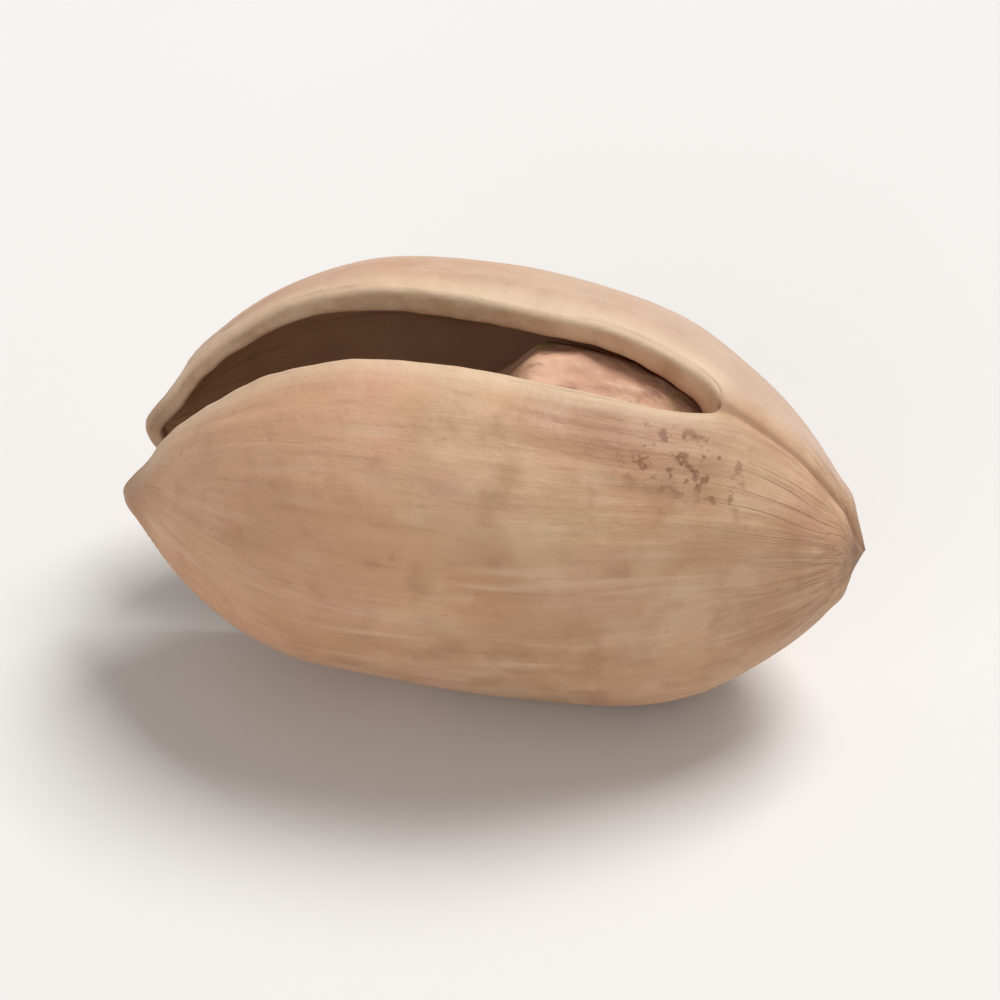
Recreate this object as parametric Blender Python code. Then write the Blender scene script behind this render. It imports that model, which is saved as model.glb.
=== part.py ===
"""A pistachio in its shell, lying on its lower seam with the split on top. Metres, +Z up.

The shell is one woody piece: two boat-shaped valves that gape at the tip, at -X, and stay joined
at the stem end, at +X. The seam between them lies in the XZ plane. The kernel lies loose inside.
"""

import math

import bmesh
import bpy
from mathutils import Vector

# The closed nut, its length without the beak
LENGTH = 0.0223
HEIGHT = 0.0129
WIDTH = 0.0110
WALL = 0.00095
STEM_WALL = 0.0014
TIP_WALL = 0.0006
STEM_TAPER = 0.85
STEM_TAPER_POWER = 6
TIP_FULLNESS = 0.1
TIP_DROP = 0.0007
TIP_DROP_POWER = 3
BEAK = 0.0006
BEAK_SPREAD = 0.0008
SCAR_DEPTH = 0.0004
SCAR_SPREAD = 0.0008

# The split: the x where each seam's crack ends, the gap's full width at the upper seam, its share of
# that at the lower seam, its growth out to the tip, how softly the lips and the flanks reach it, and how
# far from the seam the skin still bends sharply round the crack's end
UPPER_CRACK_END = 0.0066
LOWER_CRACK_END = -0.0040
GAPE = 0.0027
LOWER_GAPE = 0.53
TIP_GAPE_GROWTH = 0.28
LIP_EASE = 0.0050
CRACK_SPREAD = 0.0009
FLANK_LEAD = 0.0040
FLANK_EASE = 0.0110
# On a valve's disc, lips start to move apart from the flanks' law here, and are all their own here
LIP_ZONE_START = 0.4
SEAM_REACH = 0.999
LIP_ROUNDING = 0.00022
LIP_CORNER = 0.2

# The flat spot that it rests on is this far above the lowest point of the round form
FLAT_SPOT_DEPTH = 0.00025

# The kernel. It lies a little lower towards the stem, and its top has shrunk at the tip's end
KERNEL_LENGTH = 0.0122
KERNEL_HEIGHT = 0.0098
KERNEL_WIDTH = 0.0078
KERNEL_PLACE = Vector((0.0015, 0, 0.0006))
KERNEL_TILT = 0.09
KERNEL_SHRINK = 0.0020
KERNEL_SHRINK_START = 0.0006
KERNEL_SHRINK_SPAN = 0.0020
KERNEL_FOLDS = 7
KERNEL_FOLD_DEPTH = 0.018
KERNEL_FOLD_TWIST = 2
KERNEL_CLEFT_DEPTH = 0.05
KERNEL_CLEFT_WIDTH = 0.16

# Mesh: a valve is a middle patch, PATCH faces a side, with RINGS of faces round it, closer set
# near the seam. The kernel is a ball of six sides, each of KERNEL_SIDE faces a side
PATCH = 12
PATCH_REACH = 0.45
PATCH_CORNER = 0.85
RINGS = 7
RING_CROWDING = 1.2
KERNEL_SIDE = 14
NORMAL_STEP = 0.01
WELD = 1e-7


def mix(low, high, share):
    return low + (high - low) * share


def smooth(share):
    """0 to 1 as share goes from 0 to 1, level at both ends."""
    share = min(max(share, 0.0), 1.0)
    return share * share * (3 - 2 * share)


def closed_point(across, up):
    """A point on the skin of the closed nut's +Y valve, which fills the unit disc seen square on.

    Past the disc's rim the skin goes on round to the other valve.
    """
    reach = math.hypot(across, up) * math.pi / 2
    turn = math.atan2(up, across)
    along = math.cos(turn) * math.sin(reach)
    girth = 1 - STEM_TAPER * max(along, 0) ** STEM_TAPER_POWER
    y = WIDTH / 2 * girth * math.cos(reach)
    # Between its middle and its tip the nut is fuller on top than an ellipse
    swell = 4 * along**2 * (1 - along**2) * max(math.sin(turn), 0) if along < 0 else 0
    z = HEIGHT / 2 * girth * math.sin(turn) * math.sin(reach) * (1 + TIP_FULLNESS * swell)
    off_axis = y * y + z * z
    if along < 0:
        end = BEAK * math.exp(-off_axis / (2 * BEAK_SPREAD**2))
    else:
        end = SCAR_DEPTH * math.exp(-off_axis / (2 * SCAR_SPREAD**2))
    drop = TIP_DROP * max(-along, 0) ** TIP_DROP_POWER
    return Vector((LENGTH / 2 * along - end, y, z - drop))


def closed_normal(across, up):
    """The outward normal of the closed nut's skin, from the skin close by on four sides."""
    step = NORMAL_STEP
    one_way = closed_point(across + step, up) - closed_point(across - step, up)
    other_way = closed_point(across, up + step) - closed_point(across, up - step)
    return other_way.cross(one_way).normalized()


def shift(across, up):
    """How far the split moves a point of a valve off the seam plane.

    A lip parts round like a crack where its seam's split ends, and the flanks bend out more softly.
    """
    skin = closed_point(across, up)
    height = min(max(skin.z / HEIGHT + 0.5, 0), 1)
    ahead = mix(LOWER_CRACK_END, UPPER_CRACK_END, smooth(height)) - skin.x
    off_seam = CRACK_SPREAD * math.tanh(skin.y / CRACK_SPREAD)
    along_crack = (math.hypot(ahead, off_seam) + ahead) / 2
    lip = math.sqrt(1 - (1 - min(along_crack / LIP_EASE, 1)) ** 2)
    flank = smooth((ahead + FLANK_LEAD) / FLANK_EASE)
    lip_share = (math.hypot(across, up) - LIP_ZONE_START) / (SEAM_REACH - LIP_ZONE_START)
    growth = 1 + TIP_GAPE_GROWTH * max(-2 * skin.x / LENGTH, 0)
    return GAPE / 2 * mix(LOWER_GAPE, 1, height) * growth * mix(flank, lip, smooth(lip_share))


def wall_at(skin):
    """The shell's thickness at a point of its closed skin: thin at the tip, thick at the stem."""
    along = 2 * skin.x / LENGTH
    return mix(mix(WALL, STEM_WALL, smooth(along)), TIP_WALL, smooth(-along))


def valve_point(across, up, inward, back, side):
    """A point of the gaping shell: inward is its share of the wall's thickness, and back is how far
    it stays off the lip's face, as a share of the lip's rounding. side is 1 or -1."""
    skin = closed_point(across, up)
    gap = shift(across, up)
    rounding = min(LIP_ROUNDING, gap / 2) * back
    point = skin - closed_normal(across, up) * wall_at(skin) * inward
    if math.hypot(across, up) > SEAM_REACH:
        point.y = 0
    point.y = side * (math.hypot(point.y, rounding) + gap)
    return point


def patch_spot(row, column):
    """A spot of the valve's middle patch, a square with rounded sides, as (across, up)."""
    a = math.radians(45) * (2 * row / PATCH - 1)
    b = math.radians(45) * (2 * column / PATCH - 1)
    disc = Vector((math.sin(a) * math.cos(b), math.cos(a) * math.sin(b))) * math.sqrt(2)
    square = Vector((2 * row / PATCH - 1, 2 * column / PATCH - 1)) * PATCH_CORNER
    return (disc + square) / 2 * PATCH_REACH


def patch_rim(step):
    """The (row, column) of the patch's step-th rim point, counted round it from its lower right."""
    side, rest = divmod(step, PATCH)
    corners = ((PATCH, rest), (PATCH - rest, PATCH), (0, PATCH - rest), (rest, 0))
    return corners[side]


def rim_spot(step):
    turn = math.radians(-45 + 90 * step / PATCH)
    return Vector((math.cos(turn), math.sin(turn)))


def bridge(bm, one, other):
    """Joins two closed loops of as many vertices with faces."""
    for step in range(len(one)):
        ahead = (step + 1) % len(one)
        bm.faces.new((one[step], one[ahead], other[ahead], other[step]))


def add_face_of_valve(bm, inward, side):
    """Adds the outer or the inner face of a valve and returns the vertices of its rim, in order."""

    def vertex(spot):
        return bm.verts.new(valve_point(*spot, inward, 1, side))

    grid = [[vertex(patch_spot(row, column)) for column in range(PATCH + 1)] for row in range(PATCH + 1)]
    for row in range(PATCH):
        for column in range(PATCH):
            corners = (row, column), (row + 1, column), (row + 1, column + 1), (row, column + 1)
            bm.faces.new([grid[r][c] for r, c in corners])
    loop = [grid[row][column] for row, column in map(patch_rim, range(4 * PATCH))]
    for ring in range(1, RINGS + 1):
        share = 1 - (1 - ring / RINGS) ** RING_CROWDING
        spots = [patch_spot(*patch_rim(step)).lerp(rim_spot(step), share) for step in range(4 * PATCH)]
        new_loop = [vertex(spot) for spot in spots]
        bridge(bm, loop, new_loop)
        loop = new_loop
    return loop


def add_lips(bm, outer, inner, side):
    """Closes a valve's wall along its open edge, with the lip's two corners chamfered."""
    spots = [rim_spot(step) for step in range(4 * PATCH)]
    is_open = [shift(*spot) > WELD for spot in spots]
    rows = [outer]
    for inward in (LIP_CORNER, 1 - LIP_CORNER):
        rows.append([bm.verts.new(valve_point(*spot, inward, 0, side)) for spot in spots])
    rows.append(inner)
    for one, other in zip(rows, rows[1:]):
        for step in range(len(spots)):
            ahead = (step + 1) % len(spots)
            if is_open[step] or is_open[ahead]:
                bm.faces.new((one[step], one[ahead], other[ahead], other[step]))


def make_shell():
    bm = bmesh.new()
    for side in (1, -1):
        outer = add_face_of_valve(bm, 0, side)
        inner = add_face_of_valve(bm, 1, side)
        add_lips(bm, outer, inner, side)
    loose = [vertex for vertex in bm.verts if not vertex.link_faces]
    bmesh.ops.delete(bm, geom=loose, context="VERTS")
    # The valves meet in the seam plane where the seam is whole, and become one piece there
    bmesh.ops.remove_doubles(bm, verts=bm.verts, dist=WELD)
    bmesh.ops.recalc_face_normals(bm, faces=bm.faces)
    return bm


def make_kernel():
    bm = bmesh.new()
    bmesh.ops.create_cube(bm, size=2)
    bmesh.ops.subdivide_edges(bm, edges=bm.edges, cuts=KERNEL_SIDE - 1, use_grid_fill=True)
    for vertex in bm.verts:
        # Even steps of angle over the cube's side give faces of like size on the ball
        vertex.co = Vector(math.tan(part * math.radians(45)) for part in vertex.co).normalized()
        vertex.co = kernel_point(vertex.co)
    return bm


def kernel_point(ray):
    """The kernel's surface where a ray from its middle meets it."""
    turn = math.atan2(ray.z, ray.y)
    flank = math.hypot(ray.y, ray.z)
    folds = KERNEL_FOLD_DEPTH * flank * math.cos(KERNEL_FOLDS * turn + KERNEL_FOLD_TWIST * ray.x)
    cleft = KERNEL_CLEFT_DEPTH * math.exp(-((ray.y / KERNEL_CLEFT_WIDTH) ** 2)) * max(ray.z, 0)
    girth = 1 - folds - cleft
    half = Vector((KERNEL_LENGTH, KERNEL_WIDTH * girth, KERNEL_HEIGHT * girth)) / 2
    point = KERNEL_PLACE + Vector(size * part for size, part in zip(half, ray))
    shrunk = smooth((KERNEL_SHRINK_START - point.x) / KERNEL_SHRINK_SPAN)
    point.z -= KERNEL_TILT * point.x + KERNEL_SHRINK * shrunk * max(ray.z, 0)
    return point


def cut_flat_spot(bm, height):
    """Cuts the mesh level at a height and closes it there with one flat face."""
    everything = bm.verts[:] + bm.edges[:] + bm.faces[:]
    cut = bmesh.ops.bisect_plane(
        bm, geom=everything, plane_co=(0, 0, height), plane_no=(0, 0, -1), clear_outer=True
    )
    edges = [item for item in cut["geom_cut"] if isinstance(item, bmesh.types.BMEdge)]
    bmesh.ops.edgeloop_fill(bm, edges=edges)
    bmesh.ops.recalc_face_normals(bm, faces=bm.faces)


def material(name, colour, roughness):
    made = bpy.data.materials.new(name)
    made.use_nodes = True
    shader = made.node_tree.nodes["Principled BSDF"]
    shader.inputs["Base Color"].default_value = (*colour, 1)
    shader.inputs["Roughness"].default_value = roughness
    shader.inputs["Metallic"].default_value = 0
    return made


def add_object(name, bm, look):
    mesh = bpy.data.meshes.new(name)
    bm.to_mesh(mesh)
    bm.free()
    mesh.shade_smooth()
    mesh.set_sharp_from_angle(angle=math.radians(50))
    mesh.materials.append(look)
    made = bpy.data.objects.new(name, mesh)
    bpy.context.scene.collection.objects.link(made)
    return made


def main():
    for old in list(bpy.data.objects):
        bpy.data.objects.remove(old)

    shell = make_shell()
    floor = min(vertex.co.z for vertex in shell.verts) + FLAT_SPOT_DEPTH
    cut_flat_spot(shell, floor)
    ends = [vertex.co.x for vertex in shell.verts]

    nut = bpy.data.objects.new("nut", None)
    bpy.context.scene.collection.objects.link(nut)
    nut.location = (-(min(ends) + max(ends)) / 2, 0, -floor)

    woody = material("shell", (0.56, 0.36, 0.23), 0.55)
    seed = material("kernel", (0.42, 0.25, 0.15), 0.6)
    for name, bm, look in (("shell", shell, woody), ("kernel", make_kernel(), seed)):
        add_object(name, bm, look).parent = nut


main()
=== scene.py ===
import math
from types import SimpleNamespace

import bmesh
import bpy
import numpy as np
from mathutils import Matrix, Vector, noise


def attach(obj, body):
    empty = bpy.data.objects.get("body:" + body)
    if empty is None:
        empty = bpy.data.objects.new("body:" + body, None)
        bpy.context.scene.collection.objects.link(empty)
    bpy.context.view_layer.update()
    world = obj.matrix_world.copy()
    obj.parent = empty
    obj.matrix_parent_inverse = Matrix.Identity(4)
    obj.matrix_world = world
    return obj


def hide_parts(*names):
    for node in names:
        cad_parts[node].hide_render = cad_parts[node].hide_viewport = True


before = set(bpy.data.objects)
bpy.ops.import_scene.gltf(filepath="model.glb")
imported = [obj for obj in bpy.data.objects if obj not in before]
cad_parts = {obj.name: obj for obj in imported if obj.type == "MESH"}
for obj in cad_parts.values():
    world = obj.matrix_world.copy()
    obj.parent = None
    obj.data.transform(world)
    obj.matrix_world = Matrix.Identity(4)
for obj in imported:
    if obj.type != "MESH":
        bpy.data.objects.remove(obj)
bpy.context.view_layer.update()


# Shell: the woody casing, one grown piece in two valves, cream-tan and satin like bare wood.
# It split as it dried, from the tip along both seams, and stays whole at the stem end. Its form is
# the solid's, drawn finer, with fibre ridges, soft dents, worn lips, a seam line and a stem scar.
LENGTH = 0.0223
HEIGHT = 0.0129
WIDTH = 0.0110
WALL = 0.00095
STEM_WALL = 0.0014
TIP_WALL = 0.0006
STEM_TAPER = 0.85
STEM_TAPER_POWER = 6
TIP_FULLNESS = 0.1
TIP_DROP = 0.0007
TIP_DROP_POWER = 3
BEAK = 0.0006
BEAK_SPREAD = 0.0008
SCAR_DEPTH = 0.0004
SCAR_SPREAD = 0.0008
FLAT_SPOT_DEPTH = 0.00025
# The split: where it ends above and below, how wide it gapes, and over what lengths it opens
UPPER_CRACK_END = 0.0066
LOWER_CRACK_END = -0.0040
GAPE = 0.0027
LOWER_GAPE = 0.53
TIP_GAPE_GROWTH = 0.28
LIP_EASE = 0.0050
CRACK_SPREAD = 0.0009
FLANK_LEAD = 0.0040
FLANK_EASE = 0.0110
LIP_ZONE_START = 0.4
SEAM_REACH = 0.999
# Quads along one side of a valve's middle patch, and rings of quads round it
PATCH = 80
PATCH_REACH = 0.45
PATCH_CORNER = 0.85
RINGS = 36
RING_CROWDING = 1.2
# The rim's points crowd together at the two ends of the split, within about so many degrees
END_CROWDING = 0.85
END_CROWDING_SPREAD = 9
WELD = 1e-7
# The lip: a quarter round from the skin, a flat face, and a quarter round to the lining
LIP_ROUNDING = 0.00022
LIP_ROUND_TURNS = (22.5, 45, 67.5, 90)
LIP_FACE_ROWS = (0.36, 0.5, 0.64)
# Wear of the lips: heights, waves per metre, and the part of the disc's radius where it starts
LIP_WANDER = 0.00011
LIP_WANDER_WAVES = 420
LIP_CHIP = 0.00003
LIP_CHIP_WAVES = 1700
LIP_WEAR_START = 0.75
# Relief of the outer skin: soft dents and fibre ridges, which fade out at the nut's two ends
DENT_HEIGHT = 0.00022
DENT_WAVES = 230
RIDGE_HEIGHT = 0.00007
RIDGE_WAVES = 1.1
FINE_RIDGE_WAVES = 2.7
CALM_END_RADIUS = 0.0025
# The closed seam's groove and the low shoulders beside it, which stay faintly beside the split
SEAM_GROOVE = 0.00012
SEAM_GROOVE_WIDTH = 0.00022
SEAM_SHOULDER = 0.00005
SEAM_SHOULDER_PLACE = 0.0007
SEAM_SHOULDER_WIDTH = 0.0004
SPLIT_SHOULDER_SHARE = 0.3
CLOSED_GAP = 0.0006
# The rim of the scar that the stem left
SCAR_RIM = 0.00007
SCAR_RIM_RADIUS = 0.0015
SCAR_RIM_WIDTH = 0.00035
# The fibres' own coordinates: waves per metre along the nut, and waves round it. Closer to the nut's
# axis than the core, the fibres no longer fan out
FIBRE_WAVES_ALONG = 120
FIBRE_WAVES_ROUND = 6
FIBRE_CORE = 0.0007
# The wall follows a normal taken over a wider stretch of the disc than the relief does
RELIEF_STEP = 0.002
WALL_STEP = 0.05
# The material reads distances in millimetres
MM = 1000


def mix(low, high, share):
    return low + (high - low) * share


def smooth(share):
    share = np.clip(share, 0, 1)
    return share * share * (3 - 2 * share)


def bell(distance, place, width):
    """1 at a place, and falling to nothing about two widths away from it."""
    return np.exp(-(((distance - place) / width) ** 2))


def closed_skin(spots):
    """Points on the closed nut's +Y valve, which fills the unit disc seen square on."""
    across, up = spots[:, 0], spots[:, 1]
    reach = np.hypot(across, up) * math.pi / 2
    turn = np.arctan2(up, across)
    along = np.cos(turn) * np.sin(reach)
    girth = 1 - STEM_TAPER * np.maximum(along, 0) ** STEM_TAPER_POWER
    y = WIDTH / 2 * girth * np.cos(reach)
    swell = np.where(along < 0, 4 * along**2 * (1 - along**2), 0) * np.maximum(np.sin(turn), 0)
    z = HEIGHT / 2 * girth * np.sin(turn) * np.sin(reach) * (1 + TIP_FULLNESS * swell)
    off_axis = y * y + z * z
    beak = BEAK * np.exp(-off_axis / (2 * BEAK_SPREAD**2))
    scar = SCAR_DEPTH * np.exp(-off_axis / (2 * SCAR_SPREAD**2))
    x = LENGTH / 2 * along - np.where(along < 0, beak, scar)
    drop = TIP_DROP * np.maximum(-along, 0) ** TIP_DROP_POWER
    return np.stack((x, y, z - drop), axis=1)


def closed_normals(spots, step):
    one_way = closed_skin(spots + (step, 0)) - closed_skin(spots - (step, 0))
    other_way = closed_skin(spots + (0, step)) - closed_skin(spots - (0, step))
    normals = np.cross(other_way, one_way)
    return normals / np.linalg.norm(normals, axis=1)[:, None]


def shift(spots, skin):
    """How far the split moves a valve's points off the seam plane."""
    height = np.clip(skin[:, 2] / HEIGHT + 0.5, 0, 1)
    ahead = mix(LOWER_CRACK_END, UPPER_CRACK_END, smooth(height)) - skin[:, 0]
    off_seam = CRACK_SPREAD * np.tanh(skin[:, 1] / CRACK_SPREAD)
    along_crack = (np.hypot(ahead, off_seam) + ahead) / 2
    lip = np.sqrt(1 - (1 - np.minimum(along_crack / LIP_EASE, 1)) ** 2)
    flank = smooth((ahead + FLANK_LEAD) / FLANK_EASE)
    lip_share = (np.hypot(*spots.T) - LIP_ZONE_START) / (SEAM_REACH - LIP_ZONE_START)
    growth = 1 + TIP_GAPE_GROWTH * np.maximum(-2 * skin[:, 0] / LENGTH, 0)
    return GAPE / 2 * mix(LOWER_GAPE, 1, height) * growth * mix(flank, lip, smooth(lip_share))


def crack_ends():
    """The turns round the rim, in degrees, where the split ends."""
    turns = np.radians(np.arange(-180, 180, 0.05))
    rim = np.stack((np.cos(turns), np.sin(turns)), axis=1)
    is_open = shift(rim, closed_skin(rim)) > WELD
    return np.degrees(turns[np.flatnonzero(is_open[1:] != is_open[:-1])])


def rim_turns():
    """The rim's points as turns in degrees, evenly spaced apart from the crowding at the split's ends."""
    turns = -45 + 90 * np.arange(4 * PATCH) / PATCH
    for end in crack_ends():
        past_end = (turns - end + 180) % 360 - 180
        turns = turns - END_CROWDING * past_end * np.exp(-((past_end / END_CROWDING_SPREAD) ** 2))
    return turns


def middle_patch():
    """The disc's middle in quads, between a square and a circle in outline. Returns its spots and quads."""
    spots = []
    quads = []
    for row in range(PATCH + 1):
        for column in range(PATCH + 1):
            a, b = 2 * row / PATCH - 1, 2 * column / PATCH - 1
            angle_a, angle_b = math.radians(45) * a, math.radians(45) * b
            disc = math.sin(angle_a) * math.cos(angle_b), math.cos(angle_a) * math.sin(angle_b)
            spots.append([
                (math.sqrt(2) * round_part + PATCH_CORNER * square_part) / 2 * PATCH_REACH
                for round_part, square_part in zip(disc, (a, b))
            ])
            if row < PATCH and column < PATCH:
                corner = row * (PATCH + 1) + column
                quads.append((corner, corner + PATCH + 1, corner + PATCH + 2, corner + 1))
    return spots, quads


def disc_grid():
    """The unit disc in quads: a middle patch with rings round it. Returns its spots, quads and rim."""
    spots, quads = middle_patch()
    side = PATCH + 1
    patch_edge = [PATCH * side + step for step in range(PATCH)]
    patch_edge += [(PATCH - step) * side + PATCH for step in range(PATCH)]
    patch_edge += [PATCH - step for step in range(PATCH)]
    patch_edge += [step * side for step in range(PATCH)]
    turns = np.radians(rim_turns())
    loop = patch_edge
    for ring in range(1, RINGS + 1):
        share = 1 - (1 - ring / RINGS) ** RING_CROWDING
        new_loop = list(range(len(spots), len(spots) + 4 * PATCH))
        for start, turn in zip(patch_edge, turns):
            across, up = spots[start]
            spots.append([mix(across, math.cos(turn), share), mix(up, math.sin(turn), share)])
        for step in range(4 * PATCH):
            ahead = (step + 1) % (4 * PATCH)
            quads.append((loop[step], loop[ahead], new_loop[ahead], new_loop[step]))
        loop = new_loop
    return np.array(spots), quads, loop


def noise_at(points, seed):
    """Smooth noise from about -1 to 1, of about one wave per unit."""
    return np.array([noise.noise(Vector(point) + Vector((seed, 2 * seed, 3 * seed))) for point in points])


def noise_vectors(points, seeds):
    return np.stack([noise_at(points, seed) for seed in seeds], axis=1)


def fibre_place(points):
    """Coordinates that run with the shell's fibres: slow along the nut, fast round it."""
    off_axis = np.sqrt(points[:, 1] ** 2 + points[:, 2] ** 2 + FIBRE_CORE**2)
    round_nut = FIBRE_WAVES_ROUND * points[:, 1:] / off_axis[:, None]
    return np.column_stack((points[:, 0] * FIBRE_WAVES_ALONG, round_nut))


def skin_relief(points, gap):
    """Height of the outer skin's relief at points of the closed nut, where the split's half gap is gap."""
    fibres = fibre_place(points)
    dents = DENT_HEIGHT * noise_at(points * DENT_WAVES, seed=11)
    ridges = noise_at(fibres * RIDGE_WAVES, seed=5) + 0.5 * noise_at(fibres * FINE_RIDGE_WAVES, seed=7)
    from_seam = np.abs(points[:, 1])
    off_axis = np.hypot(points[:, 1], points[:, 2])
    closed = 1 - smooth(gap / CLOSED_GAP)
    groove = SEAM_GROOVE * bell(from_seam, 0, SEAM_GROOVE_WIDTH) * closed
    shoulder = SEAM_SHOULDER * bell(from_seam, SEAM_SHOULDER_PLACE, SEAM_SHOULDER_WIDTH)
    shoulder *= mix(SPLIT_SHOULDER_SHARE, 1, closed)
    rim = SCAR_RIM * bell(off_axis, SCAR_RIM_RADIUS, SCAR_RIM_WIDTH) * (points[:, 0] > 0)
    calm_ends = smooth(off_axis / CALM_END_RADIUS)
    return (dents + RIDGE_HEIGHT * ridges) * calm_ends - groove + shoulder + rim


def valve_layer(spots, inward, back, side):
    """Points of one valve, inward by a share of its wall, and what the material needs to know there."""
    skin = closed_skin(spots)
    radius = np.hypot(*spots.T)
    on_seam = radius > SEAM_REACH
    gap = shift(spots, skin)
    to_stem = 2 * skin[:, 0] / LENGTH
    wall = mix(mix(WALL, STEM_WALL, smooth(to_stem)), TIP_WALL, smooth(-to_stem))
    skin[on_seam, 1] = 0
    mirror = np.array((1, side, 1))
    relief = skin_relief(skin * mirror, gap) * (1 - inward)
    outward = closed_normals(spots, RELIEF_STEP) * relief[:, None]
    outward -= closed_normals(spots, WALL_STEP) * (wall * inward)[:, None]
    outward[on_seam, 1] = 0
    points = skin + outward
    wear = LIP_WANDER * noise_vectors(skin * mirror * LIP_WANDER_WAVES, (21, 22, 23))
    wear += LIP_CHIP * noise_vectors(points * mirror * LIP_CHIP_WAVES, (31, 32, 33))
    rounding = np.minimum(LIP_ROUNDING, gap / 2) * back
    points[:, 1] = side * (np.hypot(points[:, 1], rounding) + gap)
    points += wear * smooth((radius - LIP_WEAR_START) / (1 - LIP_WEAR_START))[:, None]
    fibres = fibre_place(skin * mirror)
    stem_end = np.hypot(np.hypot(skin[:, 0] - LENGTH / 2, skin[:, 1]), skin[:, 2])
    tip_end = np.hypot(np.hypot(skin[:, 0] + LENGTH / 2, skin[:, 1]), skin[:, 2] + TIP_DROP)
    marks = np.stack((skin[:, 1], stem_end, tip_end), axis=1) * MM
    return points, fibres, marks, np.full(len(points), float(inward)), gap * MM


def lip_rows():
    """The rows of points across a lip, each as its share of the wall and how far it is set back."""
    turns = [math.radians(turn) for turn in LIP_ROUND_TURNS]
    deep = LIP_ROUNDING / WALL
    outer = [(deep * (1 - math.cos(turn)), 1 - math.sin(turn)) for turn in turns]
    flat = [(share, 0) for share in LIP_FACE_ROWS]
    inner = [(1 - inward, back) for inward, back in reversed(outer)]
    return outer + flat + inner


def shell_mesh(spots, quads, rim):
    """Both valves, each with skin, lining and lips. Returns points, faces, each face's look and facts."""
    gaps = shift(spots[rim], closed_skin(spots[rim]))
    ahead = np.roll(np.arange(len(rim)), -1)
    open_steps = [step for step in range(len(rim)) if max(gaps[step], gaps[ahead[step]]) > WELD]
    layers = []
    faces = []
    looks = []
    count = 0
    for side in (1, -1):
        rows = []
        for inward, look in ((0, 0), (1, 1)):
            layers.append(valve_layer(spots, inward, 1, side))
            faces += [tuple(count + corner for corner in quad) for quad in quads]
            looks += [look] * len(quads)
            rows.append([count + place for place in rim])
            count += len(spots)
        middle = []
        for inward, back in lip_rows():
            layers.append(valve_layer(spots[rim], inward, back, side))
            middle.append(list(range(count, count + len(rim))))
            count += len(rim)
        rows = [rows[0], *middle, rows[1]]
        for one, other in zip(rows, rows[1:]):
            for step in open_steps:
                faces.append((one[step], one[ahead[step]], other[ahead[step]], other[step]))
                looks.append(0)
    points, fibres, marks, depth, gap = (np.concatenate(column) for column in zip(*layers))
    return points, faces, looks, {"fibre": fibres, "marks": marks, "depth": depth, "gap": gap}


def add_piece(name, points, faces, facts):
    """Makes a smooth mesh object. facts maps an attribute's name to its value at each point."""
    mesh = bpy.data.meshes.new(name)
    mesh.from_pydata(points.tolist(), [], faces)
    for fact, values in facts.items():
        kind, key = ("FLOAT", "value") if values.ndim == 1 else ("FLOAT_VECTOR", "vector")
        mesh.attributes.new(fact, kind, "POINT").data.foreach_set(key, values.ravel().astype(np.float32))
    mesh.shade_smooth()
    made = bpy.data.objects.new(name, mesh)
    bpy.context.scene.collection.objects.link(made)
    return made


spots, quads, rim = disc_grid()
points, faces, looks, facts = shell_mesh(spots, quads, rim)

# The nut lies on a small flat spot, with its middle over the frame's origin
smooth_skin = closed_skin(spots)
ground = smooth_skin[:, 2].min() + FLAT_SPOT_DEPTH
nut_middle = (smooth_skin[:, 0].min() + smooth_skin[:, 0].max()) / 2
nut_place = np.array((-nut_middle, 0, -ground))
points += nut_place
points[:, 2] = np.maximum(points[:, 2], 0)

shell = add_piece("pistachio_shell", points, faces, facts)
shell.data.polygons.foreach_set("material_index", looks)
bm = bmesh.new()
bm.from_mesh(shell.data)
bmesh.ops.delete(bm, geom=[vertex for vertex in bm.verts if not vertex.link_faces], context="VERTS")
bmesh.ops.remove_doubles(bm, verts=bm.verts, dist=WELD)
bmesh.ops.recalc_face_normals(bm, faces=bm.faces)
bm.to_mesh(shell.data)
bm.free()


def srgb(red, green, blue):
    """A colour given as on a screen, 0 to 255, as the shader takes it."""
    parts = [part / 255 for part in (red, green, blue)]
    return (*[part / 12.92 if part < 0.04045 else ((part + 0.055) / 1.055) ** 2.4 for part in parts], 1)


# The wood's ground, and the clouds on it, each as waves per metre, seed, strength and colour
CREAM_WOOD = srgb(214, 176, 140)
TAN_WOOD = srgb(192, 148, 112)
WOOD_CLOUDS = (
    (230, 3, 0.55, srgb(210, 157, 136)),
    (190, 9, 0.5, srgb(208, 156, 108)),
    (260, 5, 0.4, srgb(182, 154, 112)),
    (150, 7, 0.4, srgb(226, 196, 168)),
    (650, 14, 0.36, srgb(160, 116, 84)),
    (560, 15, 0.3, srgb(226, 194, 162)),
)
RUDDY_WOOD = srgb(214, 148, 116)
# Streaks, veins and pits
DARK_STREAK = srgb(164, 120, 88)
PALE_STREAK = srgb(230, 202, 174)
VEIN_BROWN = srgb(150, 108, 78)
PIT_BROWN = srgb(142, 100, 74)
# What differs from one part of the shell to another
STEM_STAIN = srgb(160, 116, 84)
# The back valve's lighter tint is partly its own pale wood and partly painted sheen
BACK_VALVE_PALE_AND_SHEEN = srgb(208, 182, 166)
FRONT_VALVE_BROWN = srgb(156, 108, 80)
FLECK_BROWN = srgb(126, 84, 58)
# Partly the wood's paler edge by the split, partly a painted highlight along the lips
SPLIT_MARGIN_AND_HIGHLIGHT = srgb(236, 210, 178)
SEAM_BROWN = srgb(134, 92, 64)
LIP_CREAM = srgb(224, 194, 164)
LIP_TAN = srgb(200, 164, 130)
INNER_EDGE_BROWN = srgb(158, 114, 82)
SCAR_BORDER = srgb(156, 112, 82)
SCAR_BROWN = srgb(118, 82, 58)
BEAK_BROWN = srgb(152, 108, 78)
# The lining
LINING_TAN = srgb(196, 156, 124)
LINING_BROWN = srgb(166, 122, 94)
LINING_STREAK = srgb(126, 84, 62)
# Painted warm glow of light bouncing inside the split, towards the stem
LINING_RUSSET_GLOW = srgb(196, 112, 58)


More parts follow.
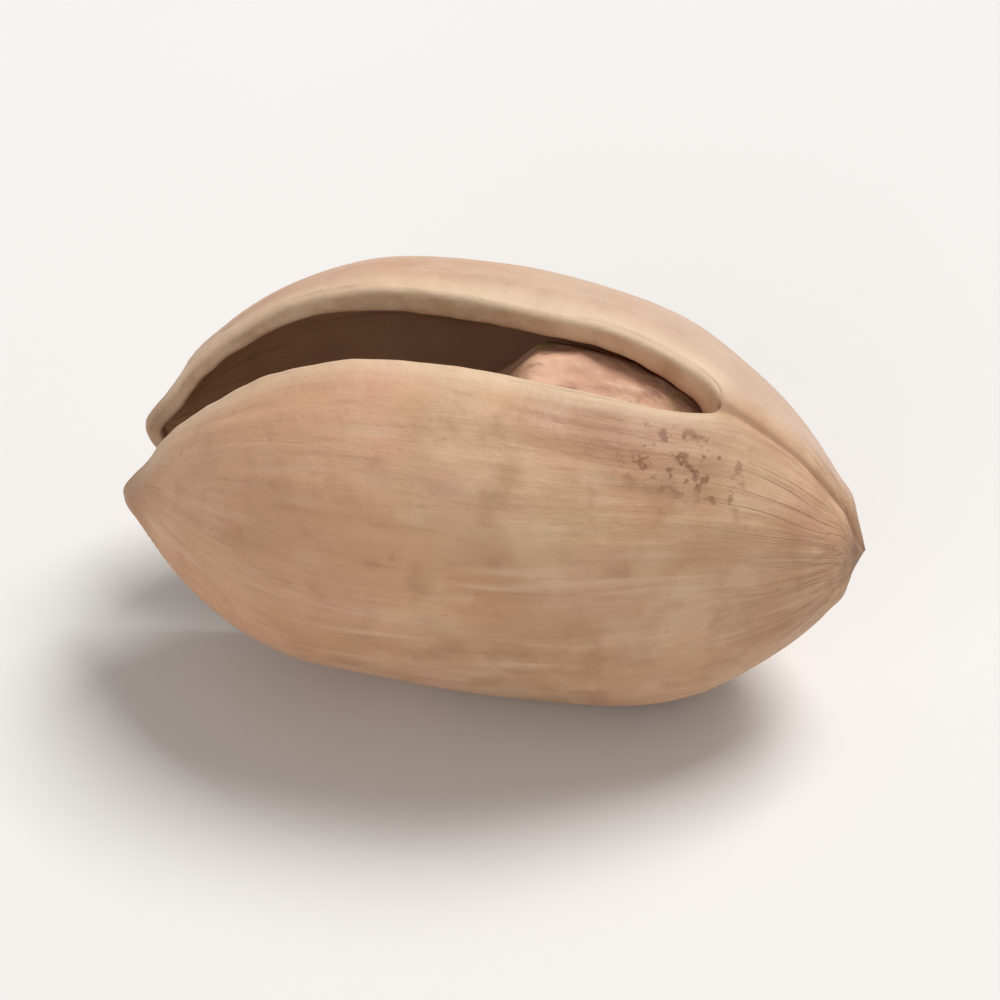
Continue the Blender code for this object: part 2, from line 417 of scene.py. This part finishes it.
def feed(tree, socket, value):
    """Links a socket's value to another socket, or sets it."""
    if isinstance(value, bpy.types.NodeSocket):
        tree.links.new(value, socket)
    else:
        socket.default_value = value


def attribute(tree, name, output):
    made = tree.nodes.new("ShaderNodeAttribute")
    made.attribute_name = name
    return made.outputs[output]


def parts_of(tree, vector):
    made = tree.nodes.new("ShaderNodeSeparateXYZ")
    feed(tree, made.inputs[0], vector)
    return made.outputs


def noise_value(tree, where, scale, detail=2.0, roughness=0.5, seed=0.0):
    made = tree.nodes.new("ShaderNodeTexNoise")
    made.noise_dimensions = "4D"
    feed(tree, made.inputs["Vector"], where)
    feed(tree, made.inputs["Scale"], scale)
    made.inputs["Detail"].default_value = detail
    made.inputs["Roughness"].default_value = roughness
    made.inputs["W"].default_value = seed
    return made.outputs["Fac"]


def rise(tree, value, start, end, low=0.0, high=1.0):
    """Goes smoothly from low to high as value goes from start to end."""
    made = tree.nodes.new("ShaderNodeMapRange")
    made.interpolation_type = "SMOOTHSTEP"
    feed(tree, made.inputs["Value"], value)
    for name, number in (("From Min", start), ("From Max", end), ("To Min", low), ("To Max", high)):
        made.inputs[name].default_value = number
    return made.outputs["Result"]


def maths(tree, operation, one, other):
    made = tree.nodes.new("ShaderNodeMath")
    made.operation = operation
    feed(tree, made.inputs[0], one)
    feed(tree, made.inputs[1], other)
    return made.outputs[0]


def both(tree, one, other):
    """A mask that is as strong as two masks are together."""
    return maths(tree, "MULTIPLY", one, other)


def tint(tree, share, one, other):
    """The colour that goes from one to other as share goes from 0 to 1."""
    made = tree.nodes.new("ShaderNodeMix")
    made.data_type = "RGBA"
    feed(tree, made.inputs[0], share)
    feed(tree, made.inputs[6], one)
    feed(tree, made.inputs[7], other)
    return made.outputs[2]


def bump(tree, height, distance):
    made = tree.nodes.new("ShaderNodeBump")
    made.inputs["Distance"].default_value = distance
    feed(tree, made.inputs["Height"], height)
    return made.outputs["Normal"]


def object_place(tree):
    return tree.nodes.new("ShaderNodeTexCoord").outputs["Object"]


def new_material(name):
    made = bpy.data.materials.new(name)
    made.use_nodes = True
    return made, made.node_tree, made.node_tree.nodes["Principled BSDF"]


def grown_grain():
    """A node group: streaks and fine relief that run with the fibres of a thing that grew."""
    group = bpy.data.node_groups.new("grown_grain", "ShaderNodeTree")
    for name, kind in (
        ("Fibre", "NodeSocketVector"),
        ("Place", "NodeSocketVector"),
        ("Streak Scale", "NodeSocketFloat"),
        ("Grain Scale", "NodeSocketFloat"),
    ):
        group.interface.new_socket(name, in_out="INPUT", socket_type=kind)
    for name in ("Streaks", "Height"):
        group.interface.new_socket(name, in_out="OUTPUT", socket_type="NodeSocketFloat")
    given = group.nodes.new("NodeGroupInput").outputs
    result = group.nodes.new("NodeGroupOutput").inputs
    streaks = noise_value(group, given["Fibre"], given["Streak Scale"], 4, 0.6)
    fine = noise_value(group, given["Fibre"], given["Streak Scale"], 5, 0.7, seed=4)
    grain = noise_value(group, given["Place"], given["Grain Scale"], 3, 0.6)
    feed(group, result["Streaks"], streaks)
    feed(group, result["Height"], maths(group, "ADD", fine, grain))
    return group


GRAIN = grown_grain()


def grain_of(tree, fibre, place, streak_scale, grain_scale):
    """Places the grain's group in a material. Returns its streaks and its height."""
    made = tree.nodes.new("ShaderNodeGroup")
    made.node_tree = GRAIN
    for socket, value in zip(made.inputs, (fibre, place, streak_scale, grain_scale)):
        feed(tree, socket, value)
    return made.outputs["Streaks"], made.outputs["Height"]


def shell_facts(tree):
    """What the shell's skin reads at a point. Places are in metres, the marks and the gap in millimetres."""
    place = object_place(tree)
    along, across, high = parts_of(tree, place)
    from_seam, from_stem, from_tip = parts_of(tree, attribute(tree, "marks", "Vector"))
    return SimpleNamespace(
        place=place, along=along, across=across, high=high,
        from_seam=from_seam, from_stem=from_stem, from_tip=from_tip,
        fibre=attribute(tree, "fibre", "Vector"),
        depth=attribute(tree, "depth", "Fac"),
        gap=attribute(tree, "gap", "Fac"),
    )


def vein_mask(tree, at):
    """Thin broken lines that run with the fibres, strongest towards the stem."""
    waves = noise_value(tree, at.fibre, 1.15, 2, 0.5, seed=12)
    line = rise(tree, maths(tree, "ABSOLUTE", maths(tree, "SUBTRACT", waves, 0.5), 0), 0.03, 0.0)
    broken = both(tree, line, rise(tree, noise_value(tree, at.place, 300, 2, 0.5, seed=13), 0.45, 0.6))
    return both(tree, broken, rise(tree, at.from_stem, 9.0, 3.5, 0.12, 0.75))


def clouded_wood(tree, at):
    """The wood's ground colour in soft clouds, ruddier towards the tip."""
    clouds = rise(tree, noise_value(tree, at.place, 140, 3), 0.36, 0.64)
    colour = tint(tree, clouds, CREAM_WOOD, TAN_WOOD)
    for waves, seed, strength, cloud in WOOD_CLOUDS:
        share = rise(tree, noise_value(tree, at.place, waves, 3, 0.55, seed), 0.5, 0.68, 0, strength)
        colour = tint(tree, share, colour, cloud)
    return tint(tree, rise(tree, at.along, 0.001, -0.006, 0, 0.34), colour, RUDDY_WOOD)


def streaked_wood(tree, at, colour, streaks, vein):
    """Dark and pale streaks and thin veins with the fibres, and scattered pits."""
    colour = tint(tree, rise(tree, streaks, 0.5, 0.74, 0, 0.34), colour, DARK_STREAK)
    pale_streaks = rise(tree, noise_value(tree, at.fibre, 1.7, 3, 0.5, seed=2), 0.54, 0.74, 0, 0.35)
    colour = tint(tree, pale_streaks, colour, PALE_STREAK)
    colour = tint(tree, both(tree, vein, 0.4), colour, VEIN_BROWN)
    pits = rise(tree, noise_value(tree, at.place, 1900, 2, 0.5, seed=8), 0.68, 0.76, 0, 0.3)
    return tint(tree, pits, colour, PIT_BROWN)


def stained_valves(tree, at, colour, streaks):
    """The stem's stain along the fibres, then a lighter back valve, partly pale wood and partly painted
    sheen, and a browner front one by the seam.
    """
    stain = both(tree, rise(tree, at.from_stem, 7.5, 1.0), rise(tree, streaks, 0.38, 0.66))
    colour = tint(tree, both(tree, stain, 0.6), colour, STEM_STAIN)
    back_part = both(tree, rise(tree, at.across, 0.0002, 0.001), rise(tree, at.from_seam, 4.6, 2.4))
    # Lighter tint on the back valve: partly pale wood, partly painted sheen where the valve is seen at a
    # grazing angle
    pale_and_sheen_share = rise(tree, at.along, -0.008, 0.009, 0.2, 0.62)
    colour = tint(tree, both(tree, back_part, pale_and_sheen_share), colour, BACK_VALVE_PALE_AND_SHEEN)
    front_part = both(tree, rise(tree, at.across, 0, -0.0008), rise(tree, at.from_seam, 3.4, 1.6))
    browner = both(tree, rise(tree, at.along, 0, 0.004, 0, 0.72), rise(tree, at.along, 0.0084, 0.006))
    browner = both(tree, browner, rise(tree, streaks, 0.35, 0.6, 0.4, 1))
    return tint(tree, both(tree, front_part, browner), colour, FRONT_VALVE_BROWN)


def flecked_wood(tree, at, colour):
    """Brown flecks beside the seam on the front valve, where the split ends."""
    beside_seam = both(tree, rise(tree, at.from_seam, 3.3, 2.2), rise(tree, at.from_seam, 0.5, 0.9))
    by_split_end = both(tree, rise(tree, at.along, 0.0038, 0.0050), rise(tree, at.along, 0.0082, 0.0072))
    above_front = both(tree, rise(tree, at.across, 0.0002, -0.0006), rise(tree, at.high, 0.007, 0.009))
    area = both(tree, both(tree, beside_seam, by_split_end), above_front)
    fleck = rise(tree, noise_value(tree, at.place, 2300, 4, 0.6, seed=6), 0.52, 0.6, 0, 0.75)
    return tint(tree, both(tree, area, fleck), colour, FLECK_BROWN)


def seam_and_lips(tree, at, colour, streaks):
    """Pale margins beside the split, partly painted highlight along the lips, a thin brown line along the
    closed seam, and the lips' own wood.
    """
    # Pale band beside the split: partly the wood's own paler edge, partly a painted highlight along the lip
    margin_and_highlight = both(tree, rise(tree, at.from_seam, 1.1, 0.1, 0, 0.55), rise(tree, at.gap, 0.05, 0.5))
    colour = tint(tree, margin_and_highlight, colour, SPLIT_MARGIN_AND_HIGHLIGHT)
    seam_line = both(tree, rise(tree, at.from_seam, 0.2, 0.04, 0, 0.6), rise(tree, at.gap, 0.3, 0.02))
    colour = tint(tree, seam_line, colour, SEAM_BROWN)
    lip_clouds = rise(tree, noise_value(tree, at.place, 700, 4, 0.6), 0.4, 0.66)
    lip_face = tint(tree, lip_clouds, LIP_CREAM, LIP_TAN)
    colour = tint(tree, rise(tree, at.depth, 0.08, 0.3, 0, 0.85), colour, lip_face)
    inner_edge = both(tree, rise(tree, at.depth, 0.55, 1.0), rise(tree, streaks, 0.4, 0.6, 0.2, 0.7))
    return tint(tree, inner_edge, colour, INNER_EDGE_BROWN)


def stem_scar_and_beak(tree, at, colour):
    """The ragged brown scar at the stem, and the beak's brown tip."""
    ragged = rise(tree, noise_value(tree, at.place, 900, 3), 0.2, 0.8, -0.45, 0.45)
    scar_edge = maths(tree, "ADD", at.from_stem, ragged)
    colour = tint(tree, rise(tree, scar_edge, 2.3, 1.0, 0, 0.45), colour, SCAR_BORDER)
    colour = tint(tree, rise(tree, scar_edge, 0.95, 0.55, 0, 0.65), colour, SCAR_BROWN)
    return tint(tree, rise(tree, at.from_tip, 2.2, 0.3, 0, 0.5), colour, BEAK_BROWN)


def shell_outside():
    made, tree, shader = new_material("shell_outside")
    at = shell_facts(tree)
    streaks, relief = grain_of(tree, at.fibre, at.place, 3.2, 2200)
    vein = vein_mask(tree, at)
    colour = clouded_wood(tree, at)
    colour = streaked_wood(tree, at, colour, streaks, vein)
    colour = stained_valves(tree, at, colour, streaks)
    colour = flecked_wood(tree, at, colour)
    colour = seam_and_lips(tree, at, colour, streaks)
    colour = stem_scar_and_beak(tree, at, colour)
    satin = rise(tree, noise_value(tree, at.place, 420, 3), 0.3, 0.7, 0.44, 0.6)
    veined_relief = maths(tree, "SUBTRACT", relief, both(tree, vein, 0.5))
    feed(tree, shader.inputs["Base Color"], colour)
    feed(tree, shader.inputs["Roughness"], satin)
    feed(tree, shader.inputs["Normal"], bump(tree, veined_relief, 0.00005))
    shader.inputs["Specular IOR Level"].default_value = 0.42
    return made


def shell_inside():
    """The lining: browner and more streaked than the skin, and russet towards the stem as a painted warm
    glow of bounced light.
    """
    made, tree, shader = new_material("shell_inside")
    place = object_place(tree)
    along, _, _ = parts_of(tree, place)
    streaks, relief = grain_of(tree, attribute(tree, "fibre", "Vector"), place, 1.4, 1500)
    clouds = rise(tree, noise_value(tree, place, 220, 3), 0.35, 0.68)
    colour = tint(tree, clouds, LINING_TAN, LINING_BROWN)
    colour = tint(tree, rise(tree, streaks, 0.5, 0.75, 0, 0.6), colour, LINING_STREAK)
    # Painted warm glow: the lining turns russet towards the stem, for light that bounces warm inside the
    # split
    colour = tint(tree, rise(tree, along, 0.0, 0.005, 0, 0.75), colour, LINING_RUSSET_GLOW)
    feed(tree, shader.inputs["Base Color"], colour)
    feed(tree, shader.inputs["Roughness"], rise(tree, noise_value(tree, place, 500, 2), 0.3, 0.7, 0.4, 0.6))
    feed(tree, shader.inputs["Normal"], bump(tree, relief, 0.00003))
    return made


shell.data.materials.append(shell_outside())
shell.data.materials.append(shell_inside())
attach(shell, "root")
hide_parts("shell")


# Kernel: the dry seed, loose in the shell, green under a thin mauve-brown skin that is grown on it.
# The skin is papery and shrunk into lengthwise wrinkles, and it is rubbed through to the green in places.
KERNEL_LENGTH = 0.0122
KERNEL_HEIGHT = 0.0098
KERNEL_WIDTH = 0.0078
KERNEL_PLACE = Vector((0.0015, 0, 0.0006))
KERNEL_TILT = 0.09
KERNEL_SHRINK = 0.0020
KERNEL_SHRINK_START = 0.0006
KERNEL_SHRINK_SPAN = 0.0020
KERNEL_FOLDS = 7
KERNEL_FOLD_DEPTH = 0.018
KERNEL_FOLD_TWIST = 2
KERNEL_CLEFT_DEPTH = 0.05
KERNEL_CLEFT_WIDTH = 0.16
# Wrinkles: their height, the level that stays in place, and each layer's waves and weight
KERNEL_WRINKLE = 0.00015
KERNEL_WRINKLE_LEVEL = 0.6
KERNEL_WRINKLE_LAYERS = ((1.3, 1.8), (3.1, 0.5), (6.7, 0.16))
KERNEL_GRAIN_ALONG = 1.6
KERNEL_GRAIN_ROUND = 3
KERNEL_SIDE = 76
# Colours of the skin, and of the green that shows where the skin is rubbed through
SKIN_PINK = srgb(228, 182, 152)
SKIN_BROWN = srgb(204, 154, 126)
SKIN_MAUVE = srgb(146, 94, 86)
SKIN_VEIN = srgb(128, 82, 70)
SKIN_PALE = srgb(230, 194, 162)
SEED_GREEN = srgb(158, 142, 74)
SEED_YELLOW_GREEN = srgb(184, 166, 100)


def kernel_grain(ray):
    """A place for the kernel's noise, where patterns come out longer along the kernel than round it."""
    return Vector((KERNEL_GRAIN_ALONG * ray.x, KERNEL_GRAIN_ROUND * ray.y, KERNEL_GRAIN_ROUND * ray.z))


def kernel_point(ray):
    """The kernel's surface where a ray from its middle meets it, with wrinkles that run lengthwise."""
    turn = math.atan2(ray.z, ray.y)
    flank = math.hypot(ray.y, ray.z)
    folds = KERNEL_FOLD_DEPTH * flank * math.cos(KERNEL_FOLDS * turn + KERNEL_FOLD_TWIST * ray.x)
    cleft = KERNEL_CLEFT_DEPTH * math.exp(-((ray.y / KERNEL_CLEFT_WIDTH) ** 2)) * max(ray.z, 0)
    girth = 1 - folds - cleft
    half = Vector((KERNEL_LENGTH, KERNEL_WIDTH * girth, KERNEL_HEIGHT * girth)) / 2
    point = KERNEL_PLACE + Vector(size * part for size, part in zip(half, ray))
    shrunk = smooth((KERNEL_SHRINK_START - point.x) / KERNEL_SHRINK_SPAN)
    point.z -= KERNEL_TILT * point.x + KERNEL_SHRINK * shrunk * max(ray.z, 0)
    grain = kernel_grain(ray)
    creases = sum(weight * abs(noise.noise(grain * waves)) for waves, weight in KERNEL_WRINKLE_LAYERS)
    return point + ray * KERNEL_WRINKLE * (KERNEL_WRINKLE_LEVEL - creases)


def cube_sphere(side):
    """Rays from the middle of a cube to a grid on its faces, evenly turned, and the quads between them."""
    cube = bmesh.new()
    bmesh.ops.create_cube(cube, size=2)
    bmesh.ops.subdivide_edges(cube, edges=cube.edges, cuts=side - 1, use_grid_fill=True)
    cube.verts.index_update()
    rays = [
        Vector(math.tan(part * math.radians(45)) for part in vertex.co).normalized() for vertex in cube.verts
    ]
    quads = [tuple(vertex.index for vertex in face.verts) for face in cube.faces]
    cube.free()
    return rays, quads


kernel_rays, kernel_quads = cube_sphere(KERNEL_SIDE)
kernel_points = np.array([kernel_point(ray) for ray in kernel_rays]) + nut_place
kernel_fibres = np.array([kernel_grain(ray) for ray in kernel_rays])
kernel = add_piece("pistachio_kernel", kernel_points, kernel_quads, {"fibre": kernel_fibres})


def rubbed_green(tree, place, along, fibre):
    """Where the skin is rubbed through, most towards the tip, and the seed's green that shows there."""
    patches = noise_value(tree, place, 300, 5, 0.62, seed=5)
    bare = maths(tree, "ADD", patches, rise(tree, along, 0.002, -0.002, 0, 0.06))
    green = tint(tree, noise_value(tree, fibre, 4.0, 3, 0.5, seed=1), SEED_GREEN, SEED_YELLOW_GREEN)
    return rise(tree, bare, 0.53, 0.6, 0, 0.85), green


def kernel_skin():
    made, tree, shader = new_material("kernel_skin")
    place = object_place(tree)
    fibre = attribute(tree, "fibre", "Vector")
    along, _, _ = parts_of(tree, place)
    veins, relief = grain_of(tree, fibre, place, 3.2, 2600)
    clouds = rise(tree, noise_value(tree, place, 300, 3), 0.38, 0.62)
    colour = tint(tree, clouds, SKIN_PINK, SKIN_BROWN)
    mauve = rise(tree, noise_value(tree, place, 420, 4, 0.6, seed=3), 0.5, 0.66, 0, 0.5)
    colour = tint(tree, mauve, colour, SKIN_MAUVE)
    colour = tint(tree, rise(tree, veins, 0.5, 0.68, 0, 0.6), colour, SKIN_VEIN)
    pale = rise(tree, noise_value(tree, fibre, 5.0, 3), 0.54, 0.72, 0, 0.6)
    colour = tint(tree, pale, colour, SKIN_PALE)
    rubbed, green = rubbed_green(tree, place, along, fibre)
    colour = tint(tree, rubbed, colour, green)
    feed(tree, shader.inputs["Base Color"], colour)
    feed(tree, shader.inputs["Roughness"], rise(tree, noise_value(tree, place, 700, 3), 0.3, 0.7, 0.5, 0.7))
    feed(tree, shader.inputs["Normal"], bump(tree, relief, 0.00004))
    return made


kernel.data.materials.append(kernel_skin())
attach(kernel, "root")
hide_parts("kernel")


# Floor: a plain, pale, matt surface that the nut lies on, with nothing fixed to it.
# It is the studio's and not part of the nut.
FLOOR_SIZE = 4
FLOOR_PALE = srgb(232, 230, 227)
FLOOR_PALER = srgb(236, 234, 232)


def floor_look():
    made, tree, shader = new_material("floor")
    mottle = noise_value(tree, object_place(tree), 30, 3)
    feed(tree, shader.inputs["Base Color"], tint(tree, mottle, FLOOR_PALE, FLOOR_PALER))
    shader.inputs["Roughness"].default_value = 0.8
    return made


half = FLOOR_SIZE / 2
floor_corners = np.array(((-half, -half, 0), (half, -half, 0), (half, half, 0), (-half, half, 0)))
floor = add_piece("floor", floor_corners, [(0, 1, 2, 3)], {})
floor.data.materials.append(floor_look())


# Studio light: a large soft lamp above and behind to the right, a weak one in front, and a pale sky.
# They stand in the room and aren't fixed to anything. Each lamp has a name, a place, a side and watts.
LAMPS = (
    ("key", (0.30, 0.38, 0.90), 0.50, 9.0),
    ("front", (-0.30, -1.02, 0.52), 0.90, 2.9),
)
SKY_COLOUR = (1, 0.985, 0.96, 1)
SKY_STRENGTH = 0.32
NUT_CENTRE = Vector((0, 0, 0.006))


def aim(thing, spot):
    thing.rotation_euler = (spot - thing.location).to_track_quat("-Z", "Y").to_euler()


for name, place, side, watts in LAMPS:
    lamp_data = bpy.data.lights.new(name, "AREA")
    lamp_data.size = side
    lamp_data.energy = watts
    lamp = bpy.data.objects.new(name, lamp_data)
    bpy.context.scene.collection.objects.link(lamp)
    lamp.location = place
    aim(lamp, NUT_CENTRE)

sky = bpy.data.worlds.new("sky")
bpy.context.scene.world = sky
sky.use_nodes = True
sky_shader = sky.node_tree.nodes["Background"]
sky_shader.inputs["Color"].default_value = SKY_COLOUR
sky_shader.inputs["Strength"].default_value = SKY_STRENGTH


# Camera: it looks down on the nut from the front and a little from the stem's side, as in the
# photograph, from far off through a long lens.
CAMERA_AZIMUTH = math.radians(12)
CAMERA_ELEVATION = math.radians(44)
CAMERA_LENS = 540
CAMERA_DISTANCE = 0.450

camera_data = bpy.data.cameras.new("camera")
camera_data.lens = CAMERA_LENS
camera_data.clip_start = 0.01
camera = bpy.data.objects.new("camera", camera_data)
bpy.context.scene.collection.objects.link(camera)
level_way = math.cos(CAMERA_ELEVATION)
camera.location = NUT_CENTRE + CAMERA_DISTANCE * Vector((
    math.sin(CAMERA_AZIMUTH) * level_way,
    -math.cos(CAMERA_AZIMUTH) * level_way,
    math.sin(CAMERA_ELEVATION),
))
aim(camera, NUT_CENTRE)
bpy.context.scene.camera = camera
bpy.context.scene.view_settings.view_transform = "Standard"
